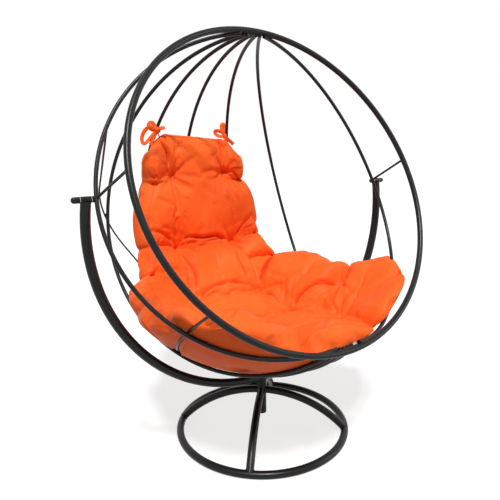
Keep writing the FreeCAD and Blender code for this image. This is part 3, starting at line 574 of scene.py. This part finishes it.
# Folds in the cover: places along each, as degrees from straight down and width, then its depth at both
# ends and its half width
FOLDS = (
    (((104, -0.150), (112, -0.139), (119, -0.160), (124, -0.175)), 0.017, 0.010, 0.0060),
    (((103.5, 0.140), (112, 0.130), (121, 0.112)), 0.012, 0.006, 0.0055),
    (((104, -0.155), (103.6, -0.200), (102, -0.240)), 0.009, 0.008, 0.0050),
    (((103.7, 0.145), (102.9, 0.189), (99.5, 0.222)), 0.010, 0.012, 0.0050),
    (((103, -0.145), (98.6, -0.101), (92.7, -0.051)), 0.009, 0.001, 0.0080),
    (((103, 0.140), (97, 0.110), (92, 0.080)), 0.006, 0.001, 0.0070),
    (((66, -0.130), (69.6, -0.085), (68.7, -0.010), (68.6, 0.076), (65.5, 0.150)), 0.016, 0.015, 0.0060),
    (((65.9, -0.135), (71.0, -0.190), (74.8, -0.262)), 0.015, 0.010, 0.0055),
    (((65.0, -0.135), (64.0, -0.200), (65.0, -0.262)), 0.009, 0.006, 0.0050),
    (((64.8, -0.130), (55.8, -0.117), (45.7, -0.115), (34, -0.148)), 0.012, 0.012, 0.0080),
    (((66, 0.161), (71.7, 0.210), (77.4, 0.262)), 0.011, 0.005, 0.0050),
    (((65.3, 0.164), (69.3, 0.215), (71.2, 0.262)), 0.009, 0.005, 0.0045),
    (((65.4, 0.160), (65.4, 0.216), (64.7, 0.264)), 0.009, 0.008, 0.0050),
    (((64.3, 0.157), (51.6, 0.147), (41.1, 0.156), (33.4, 0.172)), 0.010, 0.010, 0.0060),
    (((33, 0.178), (41.2, 0.239), (49.0, 0.305)), 0.018, 0.018, 0.0060),
    (((34, -0.145), (38.2, -0.060), (39.2, 0.040), (37.2, 0.115), (33.4, 0.172)), 0.013, 0.014, 0.0065),
    (((32.0, 0.178), (21.7, 0.204), (9.5, 0.202)), 0.012, 0.011, 0.0060),
    (((8.9, 0.204), (16.8, 0.239), (24.5, 0.289)), 0.014, 0.003, 0.0060),
    (((8.5, 0.206), (14.3, 0.262), (21.1, 0.326)), 0.012, 0.003, 0.0055),
    (((8.0, 0.209), (9.5, 0.271), (5.9, 0.344), (-5.0, 0.398)), 0.015, 0.018, 0.0060),
    (((-5.5, 0.398), (-20.8, 0.355), (-35.0, 0.305)), 0.012, 0.001, 0.0050),
    (((-24, 0.236), (-17.2, 0.281), (-7.2, 0.325)), 0.012, 0.001, 0.0060),
    (((-24, 0.238), (-31.0, 0.288), (-42.0, 0.345)), 0.013, 0.002, 0.0060),
    (((7.6, 0.198), (-8.0, 0.208), (-23.3, 0.228)), 0.011, 0.011, 0.0060),
    (((-24.5, 0.230), (-36.0, 0.215), (-47.0, 0.170)), 0.012, 0.014, 0.0055),
    (((-25.0, 0.225), (-36.0, 0.120), (-47.0, -0.020)), 0.010, 0.002, 0.0075),
    (((-24.5, -0.200), (-36.0, -0.165), (-47.0, -0.110)), 0.012, 0.014, 0.0055),
    (((-24.5, -0.200), (-22.0, -0.090), (-22.0, 0.050), (-24.5, 0.225)), 0.009, 0.009, 0.0070),
    (((7.6, -0.174), (9.0, -0.060), (9.0, 0.070), (7.6, 0.200)), 0.011, 0.011, 0.0070),
    (((33, -0.152), (20.0, -0.168), (8.6, -0.178)), 0.010, 0.010, 0.0065),
    (((7.6, -0.180), (-8.0, -0.190), (-23.3, -0.202)), 0.010, 0.010, 0.0065),
    (((33.5, -0.155), (42.0, -0.230), (50.0, -0.292)), 0.014, 0.014, 0.0060),
    (((8.0, -0.180), (2.0, -0.290), (-4.6, -0.385)), 0.013, 0.015, 0.0060),
    (((8.0, -0.182), (16.0, -0.250), (22.0, -0.320)), 0.010, 0.002, 0.0060),
    (((-24, -0.208), (-34.0, -0.270), (-48.0, -0.345)), 0.013, 0.014, 0.0060),
    (((-24, -0.208), (-18.0, -0.290), (-14.0, -0.370)), 0.009, 0.002, 0.0060))
shake = np.random.RandomState(11)
folds = [(np.array(line), start * 1.4, end * 1.4, wide * 1.5) for line, start, end, wide in FOLDS]
for row, right, left in PAD_TUFTS:
    for place in (right, left):
        for turn in np.arange(9) * math.tau / 9 + shake.uniform(-0.25, 0.25, 9):
            reach = shake.uniform(0.050, 0.130)
            bend = turn + shake.uniform(-0.4, 0.4)
            line = [(row, place)]
            for share, way in ((0.45, turn), (1.0, bend)):
                line.append((row + math.degrees(reach * share * math.sin(way) / 0.47),
                             place + reach * share * math.cos(way)))
            folds.append((np.array(line), shake.uniform(0.008, 0.016), 0.0003, shake.uniform(0.0055, 0.0100)))
for row, place, inward, back, spread in EDGE_NOTCHES:
    towards = math.pi if place > 0 else 0.0
    if back > 0.03:
        towards = math.pi / 2
    for turn in towards + np.linspace(-1.0, 1.0, 5) + shake.uniform(-0.15, 0.15, 5):
        reach = shake.uniform(0.035, 0.075)
        begin = (row + math.degrees(back / 0.47), place - math.copysign(inward, place))
        line = [begin, (begin[0] + math.degrees(reach * math.sin(turn) / 0.47), begin[1] + reach * math.cos(turn))]
        folds.append((np.array(line), shake.uniform(0.004, 0.008), 0.0003, 0.0042))
for slack in range(44):
    row, place = shake.uniform(-46, 116), shake.uniform(-1, 1)
    place = place * np.interp(-row, -PAD_ROWS[:, 0], PAD_ROWS[:, 1])
    turn = shake.uniform(-0.6, 0.6) + (0.0 if slack % 3 else math.pi / 2)
    half = shake.uniform(0.025, 0.070)
    up, over = math.degrees(half * math.sin(turn) / 0.47), half * math.cos(turn)
    kink = shake.uniform(-1.5, 1.5)
    line = ((row - up, place - over), (row + kink, place), (row + up, place + over))
    folds.append((np.array(line), shake.uniform(0.002, 0.007), shake.uniform(0.002, 0.007), shake.uniform(0.008, 0.014)))


def eased(line, steps=7):
    """A line's corners drawn smooth, as directions from the bowl's middle and shares of the way along."""
    ends = np.concatenate([line[:1] * 2 - line[1:2], line, line[-1:] * 2 - line[-2:-1]])
    along = np.arange(0, 1, 1 / steps)[:, None]
    rows = []
    for a, b, c, d in zip(ends, ends[1:], ends[2:], ends[3:]):
        rows.append(b + along * (c - a) / 2 + along ** 2 * (2 * a - 5 * b + 4 * c - d) / 2
                    + along ** 3 * (3 * b - a - 3 * c + d) / 2)
    rows = np.concatenate(rows + [line[-1:]])
    spots = on_bowl(rows[:, 0], rows[:, 1], np.ones(len(rows))) - BOWL
    return spots, np.linspace(0, 1, len(rows))


def numbers(kind, size, source):
    """One value list read from a mesh."""
    values = np.empty(len(source) * size, np.float32)
    source.foreach_get(kind, values)
    return values.reshape(-1, size).astype(float) if size > 1 else values.astype(float)


co = numbers("co", 3, rounded.vertices)
normal = numbers("vector", 3, rounded.vertex_normals)
seam = numbers("value", 1, rounded.attributes["seam"].data)
from_bowl = co - BOWL
reach = np.linalg.norm(from_bowl, axis=1, keepdims=True)
towards = from_bowl / reach
facing = np.clip(-(normal * towards).sum(1) * 1.5 + 0.35, 0, 1)
pressed = np.zeros(len(co))
for line, start_deep, end_deep, wide in folds:
    spots, shares = eased(line)
    best = np.full(len(co), 1.0)
    deep = np.zeros(len(co))
    middle = (spots[0] + spots[-1]) / 2
    close = np.linalg.norm(towards - middle, axis=1) < np.linalg.norm(spots[0] - spots[-1]) / 2 + 0.20
    ours = towards[close]
    gap = np.full(len(ours), 1.0)
    depth = np.zeros(len(ours))
    for a, b, first, last in zip(spots, spots[1:], shares, shares[1:]):
        step = b - a
        at = np.clip((ours - a) @ step / (step @ step), 0, 1)
        away = np.linalg.norm(ours - a - at[:, None] * step, axis=1) * 0.47
        share = first + (last - first) * at
        nearer = away < gap
        gap = np.where(nearer, away, gap)
        depth = np.where(nearer, start_deep + (end_deep - start_deep) * share, depth)
    valley = depth * (np.exp(-gap / wide) - 0.42 * np.exp(-((gap - 2.6 * wide) / (1.5 * wide)) ** 2))
    old = pressed[close]
    pressed[close] = np.where(valley > 0, np.maximum(old, 0) + valley * np.exp(-np.maximum(old, 0) / 0.012), old + valley)
pressed = 0.012 * np.tanh(np.minimum(pressed, 0) / 0.012) + 0.034 * np.tanh(np.maximum(pressed, 0) / 0.034)
for row, right, left in PAD_TUFTS:
    for place in (right, left):
        tuft = on_bowl(np.array(row), np.array(place), np.array(1.0)) - BOWL
        gap = np.linalg.norm(towards - tuft, axis=1) * 0.47
        pressed = pressed * (1 - 0.75 * np.exp(-(gap / 0.018) ** 2))
pressed = pressed * facing
seam_dip = np.clip((seam - 0.35) / 0.65, 0, 1)
room = np.maximum(BACKING - 0.008 - reach[:, 0], 0)
co = co + towards * np.minimum(pressed, room)[:, None] - normal * (0.0022 * seam_dip)[:, None]

# The short rod inside the ribs on the left presses a furrow into the pad: the middle of its bend and its ends
ROD_MIDDLE = Vector((0.2813, -0.2275, 0.5913))
ROD_FIRST = Vector((-0.3883, -0.3279, 0.5812)) - ROD_MIDDLE
ROD_LAST = Vector((-0.2920, 0.0355, 0.3448)) - ROD_MIDDLE
ROD_ROOM = 0.0058
from_bowl = co - BOWL
reach = np.linalg.norm(from_bowl, axis=1)
limit = np.full(len(co), BACKING)
turn = ROD_FIRST.rotation_difference(ROD_LAST)
for share in np.linspace(-0.02, 1.03, 60):
    spot = np.array(ROD_MIDDLE + Quaternion(turn.axis, turn.angle * share) @ ROD_FIRST) - BOWL
    axis_reach = np.linalg.norm(spot)
    gap = np.linalg.norm(from_bowl / reach[:, None] - spot / axis_reach, axis=1) * axis_reach
    limit = np.minimum(limit, axis_reach - ROD_ROOM + gap ** 2 / 0.03)
co = BOWL + from_bowl * np.minimum(1, limit / reach)[:, None]
rounded.vertices.foreach_set("co", co.astype(np.float32).ravel())
rounded.update()
# The folds' depth, kept as a mask for where the cover's colour is painted darker: painted shade in the creases
painted_crease_shade = rounded.attributes.new("painted_crease_shade", "FLOAT", "POINT")
painted_crease_shade.data.foreach_set("value", np.clip(pressed / 0.020, 0, 1).astype(np.float32))

# Plain woven nylon: a fine taffeta weave, a soft sheen and small creases all over. Its colour is painted darker in the
# creases of the folds and along the sewn edges, as painted shade
weave, given, made = new_group("taffeta", [("Thread", "NodeSocketFloat", 0.0006)], [("Height", "NodeSocketFloat")])
place = weave.nodes.new("ShaderNodeTexCoord")
apart = weave.nodes.new("ShaderNodeSeparateXYZ")
weave.links.new(place.outputs["UV"], apart.inputs[0])
threads = []
for axis in ("X", "Y"):
    scale = weave.nodes.new("ShaderNodeMath")
    scale.operation = "DIVIDE"
    weave.links.new(apart.outputs[axis], scale.inputs[0])
    weave.links.new(given.outputs["Thread"], scale.inputs[1])
    wave = weave.nodes.new("ShaderNodeMath")
    wave.operation = "SINE"
    weave.links.new(scale.outputs[0], wave.inputs[0])
    threads.append(wave.outputs[0])
crossing = weave.nodes.new("ShaderNodeMath")
crossing.operation = "MULTIPLY"
weave.links.new(threads[0], crossing.inputs[0])
weave.links.new(threads[1], crossing.inputs[1])
weave.links.new(crossing.outputs[0], made.inputs["Height"])

nylon = bpy.data.materials.new("orange_nylon")
nylon.use_nodes = True
tree = nylon.node_tree
shader = tree.nodes["Principled BSDF"]
shader.inputs["Specular IOR Level"].default_value = 0.07
shader.inputs["Sheen Weight"].default_value = 0.04
shader.inputs["Sheen Roughness"].default_value = 0.45
shader.inputs["Sheen Tint"].default_value = (1.0, 0.45, 0.14, 1)
# Two tones of the orange that drift at random, then a deep red painted into the creases and a deep red painted along
# the sewn edges, both painted shade
tones_and_painted_shades = ((0.90, 0.108, 0.014), (0.96, 0.145, 0.026), (0.66, 0.026, 0.003), (0.70, 0.046, 0.006))
mixes = []
for index, tint in enumerate(tones_and_painted_shades[1:]):
    mix = tree.nodes.new("ShaderNodeMix")
    mix.data_type = "RGBA"
    mix.inputs["B"].default_value = (*tint, 1)
    if mixes:
        tree.links.new(mixes[-1].outputs["Result"], mix.inputs["A"])
    mixes.append(mix)
mixes[0].inputs["A"].default_value = (*tones_and_painted_shades[0], 1)
tree.links.new(mottle(tree, 7, 0, 1, 0.6), mixes[0].inputs["Factor"])
# Painted shade: the colour goes to deep red in the creases and along the seams
for mix, label, low, high, most in ((mixes[1], "painted_crease_shade", 0.14, 1.0, 0.95), (mixes[2], "seam", 0.62, 0.95, 0.35)):
    read = tree.nodes.new("ShaderNodeAttribute")
    read.attribute_name = label
    span = tree.nodes.new("ShaderNodeMapRange")
    span.interpolation_type = "SMOOTHSTEP"
    span.inputs["From Min"].default_value = low
    span.inputs["From Max"].default_value = high
    span.inputs["To Max"].default_value = most
    tree.links.new(read.outputs["Fac"], span.inputs["Value"])
    tree.links.new(span.outputs["Result"], mix.inputs["Factor"])
tree.links.new(mixes[-1].outputs["Result"], shader.inputs["Base Color"])
tree.links.new(mottle(tree, 30, 0.40, 0.52), shader.inputs["Roughness"])
taffeta = tree.nodes.new("ShaderNodeGroup")
taffeta.node_tree = weave
taffeta.inputs["Thread"].default_value = 0.00014
before = None
for height, deep, strength in ((mottle(tree, 7, 0, 1, 0.5), 0.0130, 0.32), (mottle(tree, 30, 0, 1, 0.6), 0.0012, 0.25),
                               (taffeta.outputs["Height"], 0.00006, 0.5)):
    bump = tree.nodes.new("ShaderNodeBump")
    bump.inputs["Strength"].default_value = strength
    bump.inputs["Distance"].default_value = deep
    tree.links.new(height, bump.inputs["Height"])
    if before:
        tree.links.new(before.outputs["Normal"], bump.inputs["Normal"])
    before = bump
tree.links.new(before.outputs["Normal"], shader.inputs["Normal"])
rounded.materials.append(nylon)
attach(cushion, "bowl")
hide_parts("cushion")


# ---- Ties
# Narrow folded straps of the cushion's nylon, sewn to its top corners. Each goes round the rib behind the
# corner and is tied in a loose bow with open loops and cut tails.

STRAP_HALF = 0.0050
STRAP_THICK = 0.0021


def strap(curve, points, twist=0.0):
    """A flat ribbon through the given places, as one smooth line of a curve."""
    line = curve.splines.new("NURBS")
    line.points.add(len(points) - 1)
    for index, point in enumerate(points):
        line.points[index].co = (*point, 1)
        line.points[index].tilt = twist * index / (len(points) - 1)
    line.order_u = 4
    line.use_endpoint_u = True
    line.resolution_u = 6


sideways_view = picture_right
upward_view = picture_up
# the rib's place, the cushion's corner, then every ribbon as right, up and near places in millimetres
BOWS = {
    "left": ((-0.1490, 0.4325, 1.0415), (118.0, -0.128), (
        ((0, 2, 10), (-18, 14, 16), (-40, 6, 18), (-58, -30, 16), (-50, -58, 14), (-34, -44, 12), (-14, -14, 12), (0, -2, 10)),
        ((0, 0, 10), (-10, 24, 14), (-24, 30, 16), (-34, 14, 16), (-22, -2, 12), (0, -2, 10)),
        ((0, 0, 10), (10, 8, 12), (20, 5, 14), (30, 8, 12)),
        ((0, 0, 10), (-6, -18, 12), (-16, -36, 12), (-24, -54, 8)))),
    "right": ((0.1555, 0.4490, 1.0215), (118.0, 0.142), (
        ((0, 2, 10), (-12, 16, 14), (-30, 22, 16), (-44, 20, 14), (-40, 4, 12), (-20, -4, 12), (0, -2, 10)),
        ((0, 2, 10), (-14, 22, 14), (-18, 44, 16), (-6, 50, 14), (0, 34, 12), (2, 14, 12), (0, 0, 10)),
        ((0, 0, 10), (6, -12, 12), (20, -20, 12), (34, -34, 10)),
        ((0, 0, 10), (-2, -14, 14), (4, -28, 14), (16, -44, 10))))}
for side, (rib, corner, ribbons) in BOWS.items():
    rib = Vector(rib)
    curve = bpy.data.curves.new("bow_" + side, "CURVE")
    curve.dimensions = "3D"
    curve.extrude = STRAP_HALF
    curve.bevel_depth = STRAP_THICK
    curve.bevel_resolution = 1

    def spot(right, up, near):
        return rib + (sideways_view * right + upward_view * up - ahead * near) / 1000

    for index, ribbon in enumerate(ribbons):
        strap(curve, [spot(*place) for place in ribbon], 0.9 if index % 2 else -0.7)
    sewn_at = Vector(on_bowl(np.array(corner[0] - 1.5), np.array(corner[1]), np.array(BACKING - 0.010)))
    strap(curve, [spot(0, 0, 10), spot(2, -12, 12), (spot(0, -20, 8) + sewn_at) / 2, sewn_at], 0.5)
    around = [spot(9.5 * math.cos(turn), 0, 9.5 * math.sin(turn)) for turn in np.arange(9) * math.tau / 8]
    strap(curve, around)
    bm = solid_lines("bow_" + side, curve)
    knot = bmesh.ops.create_icosphere(bm, subdivisions=3, radius=0.0085,
                                      matrix=Matrix.Translation(spot(0, 0, 12)) @ Matrix.Diagonal((1, 0.9, 1.1, 1)))
    for vert in knot["verts"]:
        out = vert.co - spot(0, 0, 12)
        vert.co += out * 0.16 * math.sin(out.x * 900 + out.z * 500) * math.cos(out.y * 700)
    bow = new_piece("bow_" + side, bm, nylon, "bowl")
    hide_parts("tie_" + side)
